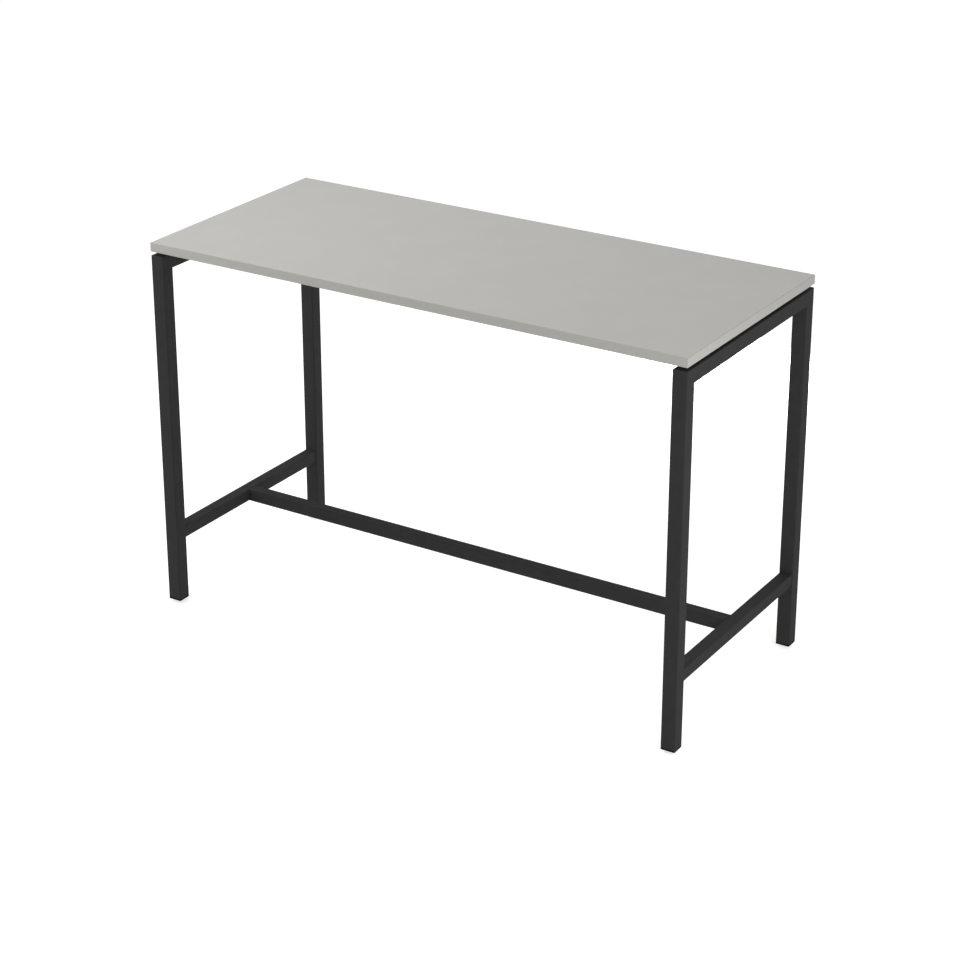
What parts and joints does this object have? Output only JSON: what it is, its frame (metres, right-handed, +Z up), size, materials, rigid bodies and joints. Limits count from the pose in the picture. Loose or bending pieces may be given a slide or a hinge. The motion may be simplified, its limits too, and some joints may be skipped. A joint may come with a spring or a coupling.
{
  "type": "standing meeting table",
  "caption": "Standing-height rectangular table: flat board on a shadow gap, square-tube end frames, a low footrest bar between them and square levelling feet.",
  "frame": {"origin": "on the floor, under the middle of the board, with the levelling feet screwed in", "axes": "+X along the long side to the right, +Y to the back, +Z up"},
  "size_m": [1.6, 0.7, 1.05],
  "materials": {
    "board_facing": "chipboard faced with plain light warm-grey melamine, fine matt pearl texture",
    "edge_band": "plain light warm-grey ABS edge band, matt, outer edges rounded",
    "frame_powder_coat": "steel tube with fine-texture matt powder coat, dark charcoal",
    "black_plastic": "moulded black plastic, matt",
    "zinc_plated_steel": "bright zinc-plated steel",
    "weld_nut_steel": "plain steel, inside the crossbars"
  },
  "bodies": {
    "root": {"tabletop_board": "board_facing", "front_edge_band": "edge_band", "rear_edge_band": "edge_band", "left_edge_band": "edge_band", "right_edge_band": "edge_band", "left_top_crossbar": "frame_powder_coat", "left_side_stretcher": "frame_powder_coat", "left_footrest_spigot": "frame_powder_coat", "left_weld_nuts": "weld_nut_steel", "left_bolt_washers": "zinc_plated_steel", "left_rail_bolts": "zinc_plated_steel", "front_left_leg": "frame_powder_coat", "front_rail_left_end_plate": "frame_powder_coat", "front_left_leg_plug": "black_plastic", "rear_left_leg": "frame_powder_coat", "rear_rail_left_end_plate": "frame_powder_coat", "rear_left_leg_plug": "black_plastic", "right_top_crossbar": "frame_powder_coat", "right_side_stretcher": "frame_powder_coat", "right_footrest_spigot": "frame_powder_coat", "right_weld_nuts": "weld_nut_steel", "right_bolt_washers": "zinc_plated_steel", "right_rail_bolts": "zinc_plated_steel", "front_right_leg": "frame_powder_coat", "front_rail_right_end_plate": "frame_powder_coat", "front_right_leg_plug": "black_plastic", "rear_right_leg": "frame_powder_coat", "rear_rail_right_end_plate": "frame_powder_coat", "rear_right_leg_plug": "black_plastic", "front_under_top_rail": "frame_powder_coat", "rear_under_top_rail": "frame_powder_coat", "footrest_bar": "frame_powder_coat", "board_spacers": "black_plastic", "rail_board_inserts": "zinc_plated_steel", "spacer_board_inserts": "zinc_plated_steel", "rail_board_screws": "zinc_plated_steel", "spacer_board_screws": "zinc_plated_steel", "footrest_screws": "zinc_plated_steel"},
    "front_left_foot": {"front_left_foot_pad": "black_plastic"},
    "front_left_stud": {"front_left_foot_stud": "zinc_plated_steel"},
    "rear_left_foot": {"rear_left_foot_pad": "black_plastic"},
    "rear_left_stud": {"rear_left_foot_stud": "zinc_plated_steel"},
    "front_right_foot": {"front_right_foot_pad": "black_plastic"},
    "front_right_stud": {"front_right_foot_stud": "zinc_plated_steel"},
    "rear_right_foot": {"rear_right_foot_pad": "black_plastic"},
    "rear_right_stud": {"rear_right_foot_stud": "zinc_plated_steel"}
  },
  "joints": [
    {"name": "front_left_foot_lift", "type": "slide", "parent": "root", "child": "front_left_foot", "axis": [0, 0, -1], "range_m": [0, 0.01]},
    {"name": "front_left_stud_turn", "type": "hinge", "parent": "front_left_foot", "child": "front_left_stud", "pos_m": [-0.7795, -0.3295, 0.02], "axis": [0, 0, -1], "range_deg": [0, 2880]},
    {"name": "rear_left_foot_lift", "type": "slide", "parent": "root", "child": "rear_left_foot", "axis": [0, 0, -1], "range_m": [0, 0.01]},
    {"name": "rear_left_stud_turn", "type": "hinge", "parent": "rear_left_foot", "child": "rear_left_stud", "pos_m": [-0.7795, 0.3295, 0.02], "axis": [0, 0, -1], "range_deg": [0, 2880]},
    {"name": "front_right_foot_lift", "type": "slide", "parent": "root", "child": "front_right_foot", "axis": [0, 0, -1], "range_m": [0, 0.01]},
    {"name": "front_right_stud_turn", "type": "hinge", "parent": "front_right_foot", "child": "front_right_stud", "pos_m": [0.7795, -0.3295, 0.02], "axis": [0, 0, -1], "range_deg": [0, 2880]},
    {"name": "rear_right_foot_lift", "type": "slide", "parent": "root", "child": "rear_right_foot", "axis": [0, 0, -1], "range_m": [0, 0.01]},
    {"name": "rear_right_stud_turn", "type": "hinge", "parent": "rear_right_foot", "child": "rear_right_stud", "pos_m": [0.7795, 0.3295, 0.02], "axis": [0, 0, -1], "range_deg": [0, 2880]}
  ],
  "couplings": [
    {"joint": "front_left_stud_turn", "follows": "front_left_foot_lift", "rad_per_m": 5026.5},
    {"joint": "rear_left_stud_turn", "follows": "rear_left_foot_lift", "rad_per_m": 5026.5},
    {"joint": "front_right_stud_turn", "follows": "front_right_foot_lift", "rad_per_m": 5026.5},
    {"joint": "rear_right_stud_turn", "follows": "rear_right_foot_lift", "rad_per_m": 5026.5}
  ]
}
